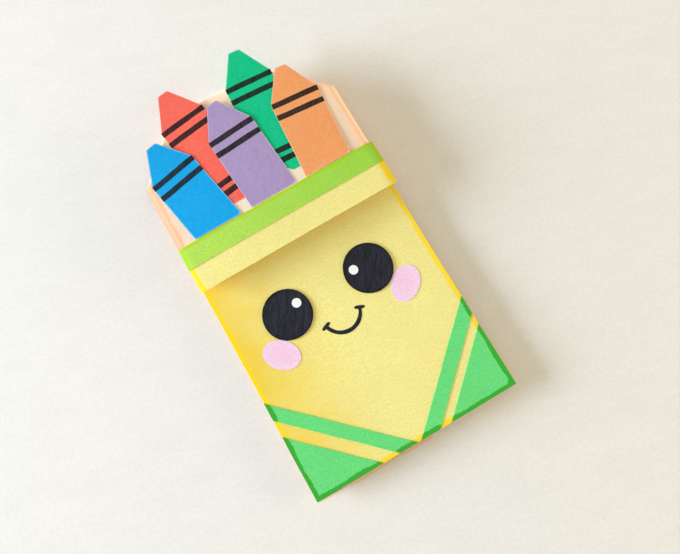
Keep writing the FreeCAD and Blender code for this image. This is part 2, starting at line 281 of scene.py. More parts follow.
def apply_modifier(piece, kind, **values):
    select_only(piece)
    modifier = piece.modifiers.new(kind.title(), kind)
    for key, value in values.items():
        setattr(modifier, key, value)
    bpy.ops.object.modifier_apply(modifier=modifier.name)


def ripple_texture():
    """One slow noise in the object's own space, so sheets on each other wave together."""
    texture = bpy.data.textures.get("Paper ripple")
    if texture is None:
        texture = bpy.data.textures.new("Paper ripple", "CLOUDS")
        texture.noise_scale = 0.07
        texture.noise_depth = 1
    return texture


def ripple(piece, share=1.0, middle=0.5):
    apply_modifier(piece, "DISPLACE", texture=ripple_texture(), texture_coords="LOCAL",
                   direction="Z", strength=sizes().ripple * share, mid_level=middle)


def lift(piece, height):
    """Raise every point by height(x, y)."""
    for vertex in piece.data.vertices:
        vertex.co.z += height(vertex.co.x, vertex.co.y)


def thicken(piece, thickness, grow=1.0):
    """Give a sheet its thickness and close it: grow is 1 upwards, 0 both ways, -1 downwards."""
    apply_modifier(piece, "SOLIDIFY", thickness=thickness, offset=grow, use_rim=True,
                   use_even_offset=False)


def copy_piece(piece, name, shift=(0, 0, 0), mirror=False):
    """A copy with its own mesh, moved along or mirrored to the bag's other side."""
    twin = piece.copy()
    twin.data = piece.data.copy()
    twin.name = twin.data.name = name
    bpy.context.scene.collection.objects.link(twin)
    select_only(twin)
    twin.location = shift
    twin.scale.x = -1 if mirror else 1
    bpy.ops.object.transform_apply(location=True, rotation=True, scale=True)
    if mirror:
        even_normals(twin)
    return twin


def hand_cut(piece):
    """Push a sheet's points about a little, each piece in its own way, so no edge is ruled."""
    seed = sum(map(ord, piece.name)) * 0.37
    start, waves_per_metre, amount = Vector((seed, -seed, seed)), 42, 0.28 * MM
    for vertex in piece.data.vertices:
        place = Vector((vertex.co.x, vertex.co.y, 0)) * waves_per_metre
        vertex.co.xy += noise.noise_vector(place + start).xy * amount


def distance_to_side(x, y, start, end):
    side = end - start
    t = max(0.0, min(1.0, (Vector((x, y)) - start).dot(side) / side.length_squared))
    return (Vector((x, y)) - (start + side * t)).length


def store(piece, name, value_at):
    """Keep value_at(x, y) with each of the piece's points, for its material to read."""
    attribute = piece.data.attributes.new(name, "FLOAT", "POINT")
    for vertex, entry in zip(piece.data.vertices, attribute.data):
        entry.value = value_at(vertex.co.x, vertex.co.y)


def mark_rim(piece, inside):
    """Store each point's depth inside a rim, as inside(x, y) gives it, in millimetres."""
    store(piece, "edge_distance", lambda x, y: inside(x, y) / MM)


def mark_edges(piece, sides):
    """Store each point's distance from the nearest of the given sides, in millimetres."""
    mark_rim(piece, lambda x, y: min(distance_to_side(x, y, *side) for side in sides))


def mark_turn(piece, beyond):
    """Store how far each point is past the start of TURN_ZONE, in millimetres.

    beyond(x, y) gives how far it is past the bend itself.
    """
    store(piece, "turn", lambda x, y: max(0.0, beyond(x, y) / MM + TURN_ZONE))


def sides_of(corners, chosen=None):
    """The sides of an outline as pairs of corners, all of them or those that chosen picks."""
    pairs = list(zip(corners, corners[1:] + corners[:1]))
    return [pair for pair in pairs if chosen is None or chosen(*pair)]


def dress(piece, material, body, slot, *nodes):
    """Give a finished piece its material and body, and hide the nodes that it stands for; slot is
    not used.
    """
    piece.data.materials.clear()
    piece.data.materials.append(material)
    select_only(piece)
    bpy.ops.object.shade_smooth_by_angle(angle=math.radians(35))
    if body is not None:
        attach(piece, body)
    if nodes:
        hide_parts(*nodes)
    return piece


def glued_sheet(name, node, material, body, slot, marked=None, settle=None, step=None):
    """A sheet of craft paper cut to its node's outline and laid on what is under it.

    marked picks the sides that a marker ran along, and settle(x, y) is its height where it
    doesn't just wave with the bag.
    """
    outline = node_outline(node)
    low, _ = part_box(node)
    piece = cut_sheet(name, outline, low.z, step)
    hand_cut(piece)
    if settle is None:
        ripple(piece)
    else:
        lift(piece, settle)
    thicken(piece, sizes().card_thickness)
    mark_edges(piece, sides_of(outline, marked))
    return dress(piece, material, body, slot, node)


# ---------------------------------------------------------------- shader groups
class Nodes:
    """Short ways to add and link nodes in one tree."""

    def __init__(self, tree):
        self.tree = tree

    def add(self, kind, **values):
        node = self.tree.nodes.new("ShaderNode" + kind)
        for key, value in values.items():
            setattr(node, key, value)
        return node

    def put(self, source, socket):
        """Link a socket, or set a plain value."""
        if isinstance(source, bpy.types.NodeSocket):
            self.tree.links.new(source, socket)
        else:
            socket.default_value = source

    def math(self, operation, *values):
        node = self.add("Math", operation=operation)
        for value, socket in zip(values, node.inputs):
            self.put(value, socket)
        return node.outputs[0]

    def plus(self, first, second):
        return self.math("ADD", first, second)

    def minus(self, first, second):
        return self.math("SUBTRACT", first, second)

    def times(self, first, second):
        return self.math("MULTIPLY", first, second)

    def space(self):
        """The place of a point on the object, in metres."""
        return self.add("TexCoord").outputs["Object"]

    def along_x(self, vector):
        node = self.add("SeparateXYZ")
        self.put(vector, node.inputs[0])
        return node.outputs["X"]

    def stored(self, name):
        """What was stored with the piece's points under that name."""
        return self.add("Attribute", attribute_name=name).outputs["Fac"]

    def group(self, tree):
        node = self.add("Group")
        node.node_tree = tree
        return node

    def noise(self, vector, scale, detail=3.0, roughness=0.55, distortion=0.0):
        node = self.add("TexNoise")
        for label, value in (("Vector", vector), ("Scale", scale), ("Detail", detail),
                             ("Roughness", roughness), ("Distortion", distortion)):
            self.put(value, node.inputs[label])
        return node.outputs["Fac"]

    def stretch(self, vector, scale, turn=0.0):
        """Turn a pattern about Z by some radians, then scale it along X, Y and Z."""
        for label, value in (("Rotation", (0, 0, turn)), ("Scale", scale)):
            node = self.add("Mapping", vector_type="POINT")
            self.put(vector, node.inputs["Vector"])
            node.inputs[label].default_value = value
            vector = node.outputs[0]
        return vector

    def ramp(self, value, low, high):
        """0 below low, 1 above high, smooth between."""
        node = self.add("MapRange", interpolation_type="SMOOTHSTEP")
        for label, source in (("Value", value), ("From Min", low), ("From Max", high)):
            self.put(source, node.inputs[label])
        return node.outputs["Result"]

    def mix(self, factor, first, second):
        node = self.add("Mix", data_type="RGBA", blend_type="MIX")
        self.put(factor, node.inputs[0])
        for value, socket in ((first, node.inputs[6]), (second, node.inputs[7])):
            linked = isinstance(value, bpy.types.NodeSocket)
            self.put(value if linked else (*value[:3], 1.0), socket)
        return node.outputs[2]

    def wash(self, tone, mask, share, second):
        """Lay a second colour over a tone, as much as a share of the mask says."""
        return self.mix(self.times(mask, share), tone, second)

    def finish(self, shader, tone, roughness, height, strength, depth):
        """Give a shader its colour, its roughness and its relief."""
        bump = self.add("Bump")
        bump.inputs["Strength"].default_value = strength
        bump.inputs["Distance"].default_value = depth
        self.put(height, bump.inputs["Height"])
        for label, source in (("Base Color", tone), ("Roughness", roughness),
                              ("Normal", bump.outputs[0])):
            self.put(source, shader.inputs[label])


def shared_group(name, inputs, outputs, fill):
    """The group of that name, made by fill(nodes, inputs, outputs) when it is first needed.

    Every input and output is a number, and each input comes with its default.
    """
    if name in bpy.data.node_groups:
        return bpy.data.node_groups[name]
    group = bpy.data.node_groups.new(name, "ShaderNodeTree")
    for label, default in inputs.items():
        socket = group.interface.new_socket(name=label, in_out="INPUT",
                                            socket_type="NodeSocketFloat")
        socket.default_value = default
    for label in outputs:
        group.interface.new_socket(name=label, in_out="OUTPUT", socket_type="NodeSocketFloat")
    inside = group.nodes.new("NodeGroupInput")
    outside = group.nodes.new("NodeGroupOutput")
    fill(Nodes(group), inside.outputs, outside.inputs)
    return group


def paper_grain_group():
    """Fine tooth, long fibres and slow cloudiness of paper."""
    def fill(n, given, result):
        space = n.space()
        cloud = n.noise(space, 38, detail=5, roughness=0.6)
        tooth = n.noise(space, 1900, detail=3)
        felt = n.noise(space, 620, detail=4, roughness=0.6, distortion=0.6)
        fibre = n.noise(n.stretch(space, (240, 1900, 700), turn=0.35), 1.0, detail=3,
                        distortion=1.2)
        speck = n.noise(n.stretch(space, (420, 900, 600), turn=-0.5), 1.0, detail=2)
        mottle = n.noise(space, 760, detail=5, roughness=0.75)
        n.put(n.ramp(cloud, 0.32, 0.68), result["Cloud"])
        n.put(n.ramp(mottle, 0.34, 0.66), result["Mottle"])
        n.put(n.ramp(fibre, 0.42, 0.7), result["Fibre"])
        n.put(n.ramp(speck, 0.70, 0.78), result["Speck"])
        n.put(n.plus(n.times(tooth, 0.45), n.times(felt, 0.8)), result["Height"])
    return shared_group("Paper grain", {}, ("Cloud", "Fibre", "Speck", "Mottle", "Height"), fill)


def edge_marker_group():
    """Where a marker was run along a cut edge: a wobbly, streaky band beside it."""
    def fill(n, given, result):
        space = n.space()
        wobble = n.times(n.minus(n.noise(space, 70, detail=3), 0.5), 3.4)
        feather = n.times(n.minus(n.noise(space, 900, detail=2), 0.5), 1.1)
        reach = n.plus(n.plus(given["Width"], wobble), feather)
        mask = n.ramp(n.minus(reach, n.stored("edge_distance")), -0.15, 0.45)
        streak = n.noise(space, 240, detail=3)
        n.put(n.times(mask, n.ramp(streak, -0.1, 0.4)), result["Mask"])
    return shared_group("Edge marker", {"Width": 2.6}, ("Mask",), fill)


def marker_fill_group():
    """The overlapping strokes of a surface coloured in with a marker."""
    def fill(n, given, result):
        space = n.space()
        broad = n.noise(n.stretch(space, (420, 70, 60), turn=0.5), 1.0, detail=2, distortion=1.6)
        narrow = n.noise(n.stretch(space, (1500, 140, 60), turn=0.42), 1.0, detail=3,
                         distortion=0.8)
        n.put(n.plus(n.times(broad, 0.65), n.times(narrow, 0.35)), result["Strokes"])
    return shared_group("Marker fill", {}, ("Strokes",), fill)


# ---------------------------------------------------------------- materials
def start_material(name):
    material = bpy.data.materials.new(name)
    material.use_nodes = True
    tree = material.node_tree
    tree.nodes.clear()
    n = Nodes(tree)
    shader = n.add("BsdfPrincipled")
    surface = n.add("OutputMaterial")
    tree.links.new(shader.outputs[0], surface.inputs["Surface"])
    shader.inputs["Specular IOR Level"].default_value = 0.2
    return material, n, shader


def paper_material(name, base, marker=None, marker_width=None, cloud=0.4, mottle=1.0,
                   streaks=0.0, rim=0.0, graded=None):
    """Coloured craft paper, with marker along its edges if a marker colour is given.

    graded is another colour, where across the paper it begins and ends to show, and how much.
    """
    if name in bpy.data.materials:
        return bpy.data.materials[name]
    material, n, shader = start_material(name)
    grain = n.group(paper_grain_group()).outputs
    dark = toned(base, 0.80)
    tone = n.wash(base, grain["Cloud"], cloud, dark)
    tone = n.wash(tone, grain["Mottle"], mottle, dark)
    tone = n.wash(tone, grain["Fibre"], 0.3, toned(base, 1.10, 0.03))
    tone = n.wash(tone, grain["Speck"], 0.3, toned(base, 0.5))
    if streaks:
        strokes = n.group(marker_fill_group()).outputs["Strokes"]
        tone = n.wash(tone, n.ramp(strokes, 0.45, 0.7), streaks, [c ** 1.5 for c in base])
    if graded is not None:
        other, begin, end, amount = graded
        uneven = n.plus(n.along_x(n.space()), n.times(grain["Cloud"], 20 * MM))
        tone = n.wash(tone, n.ramp(uneven, begin, end), amount, other)
    if rim:
        cut = n.minus(1.0, n.ramp(n.stored("edge_distance"), 0.15, 0.75))
        tone = n.wash(tone, cut, rim, toned(base, 0.5, 0.45))
    if marker is not None:
        edge = n.group(edge_marker_group())
        edge.inputs["Width"].default_value = (marker_width or sizes().edge_marker) / MM
        tone = n.wash(tone, edge.outputs["Mask"], 0.9, marker)
    n.finish(shader, tone, n.plus(n.times(grain["Cloud"], 0.08), 0.82), grain["Height"],
             strength=0.3, depth=0.15 * MM)
    return material


def kraft_material():
    """The bag's own paper: warm kraft with fine fibres, small specks and the machine's ribs.

    "turn" is 0 away from the jaw's sides, TURN_ZONE at their bends and more beyond them. The paper
    takes painted shade towards its edges, along the bends and on the side towards the window, and a
    faint painted glow on the bends away from it.
    """
    name = "Kraft bag paper"
    if name in bpy.data.materials:
        return bpy.data.materials[name]
    material, n, shader = start_material(name)
    grain = n.group(paper_grain_group()).outputs
    space = n.space()
    base = colours().kraft
    ribs = n.noise(n.stretch(space, (2600, 30, 30)), 1.0, detail=2)
    crumple = n.noise(space, 55, detail=4, roughness=0.5, distortion=0.8)
    folded = n.plus(n.stored("edge_distance"), n.times(grain["Cloud"], 5.0))
    turn = n.stored("turn")
    near = n.ramp(n.minus(turn, n.times(grain["Cloud"], 1.5)), 0.3, TURN_ZONE)
    over = n.ramp(turn, TURN_ZONE + 0.6, TURN_ZONE + 4.4)
    # window_side is 1 at the jaw's left, towards the window, fading to 0 at its middle; the painted
    # shade and glow below follow it.
    window_side = n.minus(1.0, n.ramp(n.along_x(space), -70 * MM, 0))
    shaded = n.times(near, n.minus(1.0, window_side))
    # Painted light: a faint glow on the bends away from the window stands in for light shining
    # through the paper.
    glow = n.mix(shaded, (0, 0, 0), toned(colours().kraft_glow, 0.2))
    n.put(glow, shader.inputs["Emission Color"])
    shader.inputs["Emission Strength"].default_value = 1.0
    # Painted shade: the tone turns darker and warmer towards each piece's edges.
    tone = n.mix(n.minus(1.0, n.ramp(folded, 2.0, 16.0)), base, colours().kraft_fold_shade)
    for mask, share, by in ((grain["Cloud"], 0.35, 0.84), (grain["Mottle"], 0.3, 0.86),
                            (grain["Fibre"], 0.25, 1.12), (grain["Speck"], 0.45, 0.6),
                            (ribs, 0.12, 0.7)):
        tone = n.wash(tone, mask, share, toned(base, by))
    # Painted shade along the jaw's bends, heavier on the window side where the light falls
    # strongest.
    bend_shade_share = n.plus(n.times(window_side, 0.45), 0.3)
    tone = n.wash(tone, near, bend_shade_share, colours().kraft_bend_shade)
    # Painted shade: past the bends on the window side, the paper is darkened against the strong
    # window light.
    tone = n.wash(tone, n.times(over, window_side), 0.95, colours().kraft_window_side_shade)
    height = n.plus(n.times(grain["Height"], 0.5), n.times(ribs, 0.3))
    height = n.plus(height, n.times(crumple, 5.0))
    n.finish(shader, tone, n.plus(n.times(grain["Fibre"], 0.08), 0.7), height,
             strength=0.35, depth=0.25 * MM)
    return material


def ink_material(name, base, glow=1.9):
    """Marker ink: streaky strokes, darker where they overlap and along the rim."""
    if name in bpy.data.materials:
        return bpy.data.materials[name]
    material, n, shader = start_material(name)
    strokes = n.group(marker_fill_group()).outputs["Strokes"]
    grain = n.group(paper_grain_group()).outputs
    edge = n.group(edge_marker_group())
    edge.inputs["Width"].default_value = 1.1
    tone = n.mix(n.ramp(strokes, 0.35, 0.65), toned(base, 0.6), toned(base, glow))
    tone = n.wash(tone, edge.outputs["Mask"], 0.75, toned(base, 0.25))
    n.finish(shader, tone, n.plus(n.times(strokes, 0.2), 0.6), grain["Height"],
             strength=0.12, depth=0.12 * MM)
    return material


def cheek_material():
    """Pink paper, rubbed warmer in the middle of each cheek."""
    name = "Cheek paper"
    if name in bpy.data.materials:
        return bpy.data.materials[name]
    material = paper_material(name, colours().pink, cloud=0.04)
    n = Nodes(material.node_tree)
    shader = next(node for node in material.node_tree.nodes if node.type == "BSDF_PRINCIPLED")
    plain = shader.inputs["Base Color"].links[0].from_socket
    warm = n.ramp(n.stored("edge_distance"), 2.5, 8.5)
    n.put(n.wash(plain, warm, 0.6, colours().cheek_middle), shader.inputs["Base Color"])
    return material


# ---------------------------------------------------------------- the bag
def side_path(t, start_y):
    """Along the right side from start_y, round the cut corner and a little along the top fold.

    Returns the point and the direction that faces outwards there, which turns smoothly.
    """
    past_corner, inside_fold = 9 * MM, 1.5 * MM
    stops = [Vector((HALF, start_y)), Vector((HALF, CUT_Y)), Vector((CUT_X, FOLD_Y)),
             Vector((FOLD_HIGH.x - past_corner, FOLD_Y - inside_fold))]
    lengths = [(b - a).length for a, b in zip(stops, stops[1:])]
    run = t * sum(lengths)
    facing = max(0.0, min(1.0, (run - lengths[0]) / lengths[1] + 0.5))
    angle = math.radians(45) * facing * facing * (3 - 2 * facing)
    outward = Vector((math.cos(angle), math.sin(angle)))
    for a, b, span in zip(stops, stops[1:], lengths):
        if run <= span:
            return a.lerp(b, run / span), outward
        run -= span
    return stops[-1], outward


class PUPPET_OT_bag_back(bpy.types.Operator):
    """Back wall of the bag, with its glued seam"""
    bl_idname = "puppet.bag_back"
    bl_label = "Bag back"

    def execute(self, context):
        outline = node_outline("back_wall")
        piece = cut_sheet("Bag_back", outline, 2 * HAIR)
        self.pink(piece)
        thicken(piece, sizes().bag_thickness)
        mark_edges(piece, sides_of(outline))
        dress(piece, kraft_material(), "back", "bag_paper", "back_wall")
        low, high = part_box("back_seam")
        seam = add_grid("Bag_seam", (low.x, low.y), (high.x, high.y), low.z)
        ripple(seam, 0.15, middle=0.0)
        thicken(seam, sizes().bag_thickness)
        dress(seam, kraft_material(), "back", "bag_paper", "back_seam")
        return {"FINISHED"}

    def pink(self, piece):
        """Cut the open end to small teeth, and let it run uneven as a bag's mouth does."""
        def on_end(vertex):
            return vertex.co.y < BACK_LOW.y + HAIR

        in_edit_mode(piece, lambda: bpy.ops.mesh.subdivide(number_cuts=3), on_end)
        tooth, setback = 0.7 * MM, 2.3 * MM
        tab_middle, tab_half = -0.43, 0.3       # in half widths of the bag
        for number, vertex in enumerate(sorted(filter(on_end, piece.data.vertices),
                                               key=lambda v: v.co.x)):
            proud = math.exp(-(((vertex.co.x / HALF) - tab_middle) / tab_half) ** 4)
            vertex.co.y += setback * (1 - proud) + tooth * (number % 2)


class PUPPET_OT_bag_pleats(bpy.types.Operator):
    """Side pleats, folded in between back and front, and the corners' lower webs"""
    bl_idname = "puppet.bag_pleats"
    bl_label = "Bag pleats"

    def execute(self, context):
        low_z, high_z = BACK_HIGH.z + GAP, FRONT_LOW.z - GAP
        depth = HALF - PLEAT_LOW.x
        inset, sway, waves_per_metre = 0.1 * MM, 0.35 * MM, 70
        web_share = 0.9         # of the pleat's depth, where the web begins

        def place_pleat(u, v):
            """u runs from the open end to the mouth crease, v over the pleat from back to front."""
            y = FRONT_LOW.y + (FRONT_HIGH.y - FRONT_LOW.y) * u
            inward = 1 - abs(2 * v - 1)
            rounding = 1 - (1 - inward) ** 1.15
            wave = sway * math.sin(y * waves_per_metre) * inward * (1 - inward) * 4
            z = low_z + (high_z - low_z) * v + wave * (0.5 - v) * 2
            return Vector((HALF - inset - depth * rounding, y, z))

        def place_web(u, v):
            """u runs from the mouth crease round the corner to the top fold, v upwards."""
            point, outward = side_path(u, FRONT_HIGH.y)
            inward = math.sin(math.pi * v) * depth * web_share * (1 - u) ** 2
            flat = point - outward * (inward + inset)
            return Vector((flat.x, flat.y, low_z + (high_z - low_z) * v))

        for name, columns, rows, place, nodes in (
            ("Pleat", 76, 24, place_pleat, ("_pleat_back", "_pleat_front")),
            ("Corner_web_low", 40, 12, place_web, ()),
        ):
            right = shaped_grid(f"{name}_right", columns, rows, place)
            left = copy_piece(right, f"{name}_left", mirror=True)
            for side, piece in (("right", right), ("left", left)):
                thicken(piece, sizes().bag_thickness, grow=0.0)
                # Count the lower webs as turned, so they take the painted shade and glow of the
                # jaw's sides.
                if name == "Corner_web_low":
                    mark_turn(piece, lambda x, y: WEB_TURN)
                dress(piece, kraft_material(), None, "bag_paper", *(side + node for node in nodes))
                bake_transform(piece)
        return {"FINISHED"}


class PUPPET_OT_bag_front(bpy.types.Operator):
    """Front wall of the bag, up to the mouth crease"""
    bl_idname = "puppet.bag_front"
    bl_label = "Bag front"

    def execute(self, context):
        piece = cut_sheet("Bag_front", node_outline("front_wall"),
                          FRONT_HIGH.z - sizes().bag_thickness)
        ripple(piece)
        thicken(piece, sizes().bag_thickness)
        dress(piece, kraft_material(), "front", "bag_paper", "front_wall")
        return {"FINISHED"}


# ---------------------------------------------------------------- the upper jaw
def jaw_crown(x, y):
    """How much the puffed jaw rises above its flat panel."""
    rim_share = 0.35        # of the crown, left where the panel begins and ends
    across = 1 - min(1.0, (x / HALF) ** 2)
    middle = (PANEL_LOW.y + FOLD_Y) / 2
    along = 1 - min(1.0, ((y - middle) / (FOLD_Y - middle)) ** 2)
    return sizes().crown * across * (rim_share + (1 - rim_share) * along)


def corner_offset(normals, reach):
    """The offset of a corner whose sides move out by their own distances."""
    (n1, o1), (n2, o2) = zip(normals, reach)
    cross = n1.x * n2.y - n1.y * n2.x
    return Vector(((o1 * n2.y - o2 * n1.y) / cross, (o2 * n1.x - o1 * n2.x) / cross))


class PUPPET_OT_jaw_shell(bpy.types.Operator):
    """The folded-over bottom: top panel with its sides, corners, lip and top fold"""
    bl_idname = "puppet.jaw_shell"
    bl_label = "Jaw shell"

    rings = 9

    def skirt_shape(self, kind, t):
        """Outward and downward travel of a side's fold, t from 0 at the panel to 1 at its end."""
        bend = t * math.pi / 2
        drop = PANEL_HIGH.z - POCKET_Z
        side_reach = SIDE_HIGH.x - PANEL_HIGH.x
        reach = {"side": side_reach, "corner": side_reach / 2,
                 "lip": LIP_LOW.y - LIP_HIGH.y, "fold": 0.0}[kind]
        swell = sizes().side_swell * math.sin(2 * bend) if kind in ("side", "corner") else 0.0
        return reach * math.sin(bend) + swell, drop * (1 - math.cos(bend))

    def execute(self, context):
        outline = node_outline("jaw_panel")
        piece = cut_sheet("Jaw_shell", outline, PANEL_HIGH.z)
        sides = []
        mostly = 0.9
        for start, end in sides_of(outline):
            along = (end - start).normalized()
            normal = Vector((along.y, -along.x))
            if abs(normal.y) > mostly:
                kind = "lip" if normal.y < 0 else "fold"
            else:
                kind = "side" if abs(normal.x) > mostly else "corner"
            sides.append((start, end, normal, kind))
        self.turn_down(piece, sides)
        lift(piece, jaw_crown_above_pocket(piece))
        thicken(piece, sizes().bag_thickness, grow=-1.0)
        mark_edges(piece, sides_of(outline))
        # How far each point lies past the bends, for the painted shade and glow of the jaw's sides.
        bent = [side for side in sides if side[3] in ("side", "corner")]
        mark_turn(piece, lambda x, y: max((Vector((x, y)) - start).dot(normal)
                                          for start, _, normal, _ in bent))
        dress(piece, kraft_material(), "upper_jaw", "bag_paper", "jaw_panel", "jaw_side_left",
              "jaw_side_right", "jaw_corner_left", "jaw_corner_right", "jaw_lip", "top_fold")
        return {"FINISHED"}

    def turn_down(self, piece, sides):
        """Extrude the panel's rim ring by ring, so that each side folds down in its own curve."""
        fold_radius = (PANEL_HIGH.z - FOLD_LOW.z) / 2

        def place(home, t):
            touching = [s for s in sides
                        if distance_to_side(home.x, home.y, s[0], s[1]) < 2 * HAIR]
            shapes = [self.skirt_shape(s[3], t) for s in touching]
            if len(touching) == 2:
                flat = corner_offset([s[2] for s in touching], [s[0] for s in shapes])
            else:
                flat = touching[0][2] * shapes[0][0]
            down = max(s[1] for s in shapes)
            if any(s[3] == "fold" for s in touching):
                inside = max(0.0, 1 - (abs(home.x) / FOLD_HIGH.x) ** 6)
                round_out = fold_radius * math.sin(math.pi * t)
                round_down = fold_radius * (1 - math.cos(math.pi * t))
                flat = flat * (1 - inside) + Vector((0, round_out)) * inside ** 0.5
                down = down * (1 - inside) + round_down * inside
            return Vector((home.x + flat.x, home.y + flat.y, home.z - down))

        def extrude_rim():
            bpy.ops.mesh.select_non_manifold(extend=False, use_wire=False, use_multi_face=False,
                                             use_non_contiguous=False, use_verts=False)
            bpy.ops.mesh.extrude_edges_move(TRANSFORM_OT_translate={"value": (0, 0, 0)})

        homes = {}      # where each point of the last ring began, on the panel's rim
        for ring in range(1, self.rings + 1):
            in_edit_mode(piece, extrude_rim)
            moved = {}
            for vertex in (v for v in piece.data.vertices if v.select):
                home = homes.get(vertex.co.copy().freeze(), vertex.co.copy())
                vertex.co = place(home, ring / self.rings)
                moved[vertex.co.copy().freeze()] = home
            homes = moved
        even_normals(piece)


def jaw_crown_above_pocket(piece):
    """Crown for the shell: the panel rises, the skirt's lower edge stays where it is."""
    heights = {}
    for vertex in piece.data.vertices:
        heights[(round(vertex.co.x, DECIMALS), round(vertex.co.y, DECIMALS))] = vertex.co.z
    waves_per_metre, wave_height = 22, 0.5

    def height(x, y):
        z = heights[(round(x, DECIMALS), round(y, DECIMALS))]
        share = max(0.0, min(1.0, (z - POCKET_Z) / (PANEL_HIGH.z - POCKET_Z)))
        wave = noise.noise(Vector((x, y, 0)) * waves_per_metre) * wave_height * MM
        return (jaw_crown(x, y) + wave) * share
    return height


class PUPPET_OT_mouth_lining(bpy.types.Operator):
    """Roof of the mouth and the small side webs that join the jaw to the body"""
    bl_idname = "puppet.mouth_lining"
    bl_label = "Mouth lining"

    def execute(self, context):
        lip_y = LIP_HIGH.y
        crease_y = LINING_HIGH.y
        crease_z = LINING_LOW.z
        top_z = POCKET_Z + GAP
        reach = HALF - 0.3 * MM
        web_low = FRONT_LOW.z - GAP
        deepest, inset, overlap = 5 * MM, 0.2 * MM, 0.1 * MM

        def level(y):
            """Height of the lining at y; past the crease, the body's front wall."""
            run = (y - lip_y) / (crease_y - lip_y)
            return top_z + (crease_z - top_z) * run if run <= 1 else web_low

        def place(u, v):
            """u runs across the bag, v from the lip to the mouth crease."""
            y = lip_y + (crease_y - lip_y) * v
            return Vector(((2 * u - 1) * reach, y, level(y)))

        lining = shaped_grid("Mouth_lining", 60, 36, place)
        thicken(lining, sizes().bag_thickness)
        dress(lining, kraft_material(), None, "bag_paper", "mouth_lining")
        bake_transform(lining)

        def place_web(u, v):
            """u runs from the lip along the side and round the corner, v up to the jaw."""
            point, outward = side_path(u, lip_y)
            tuck = math.sin(math.pi * v) * deepest * math.sin(math.pi * u ** 0.8)
            flat = point - outward * (tuck + inset)
            low = level(point.y)
            return Vector((flat.x, flat.y, low + (top_z + overlap - low) * v))

        right = shaped_grid("Corner_web_high_right", 64, 12, place_web)
        left = copy_piece(right, "Corner_web_high_left", mirror=True)
        for web in (right, left):
            thicken(web, sizes().bag_thickness, grow=0.0)
            # Count the upper webs as turned, so they take the painted shade and glow of the jaw's
            # sides.
            mark_turn(web, lambda x, y: WEB_TURN)
            dress(web, kraft_material(), None, "bag_paper")
            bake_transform(web)
        return {"FINISHED"}


class PUPPET_OT_strip(bpy.types.Operator):
    """Yellow strip along the jaw's free edge and the light green band on it"""
    bl_idname = "puppet.strip"
    bl_label = "Strip and band"

    def execute(self, context):
        droop = 22      # metres down for each square metre past the jaw's top

        def settle(x, y):
            """The strip follows the jaw's crown and its overhanging ends droop a little."""
            past = max(0.0, abs(x) - PANEL_HIGH.x)
            return jaw_crown(x, y) - past * past * droop + 2 * GAP

        def upright(a, b):
            return abs(a.x - b.x) < MM

        def ends_or_top(a, b):
            return upright(a, b) or min(a.y, b.y) > band_low.y + MM

        band_low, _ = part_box("jaw_band")
        glued_sheet(
            "Jaw_strip", "jaw_strip",
            paper_material("Yellow strip paper", colours().yellow, colours().yellow_marker,
                           marker_width=4.4 * MM),
            "upper_jaw", "yellow_paper", upright, settle)
        glued_sheet(
            "Jaw_band", "jaw_band",
            paper_material("Light green paper", colours().lime, colours().lime_marker,
                           marker_width=2.2 * MM,
                           graded=(colours().lime_deep, -30 * MM, 80 * MM, 0.35)),
            "upper_jaw", "lime_paper", ends_or_top, settle)
        return {"FINISHED"}


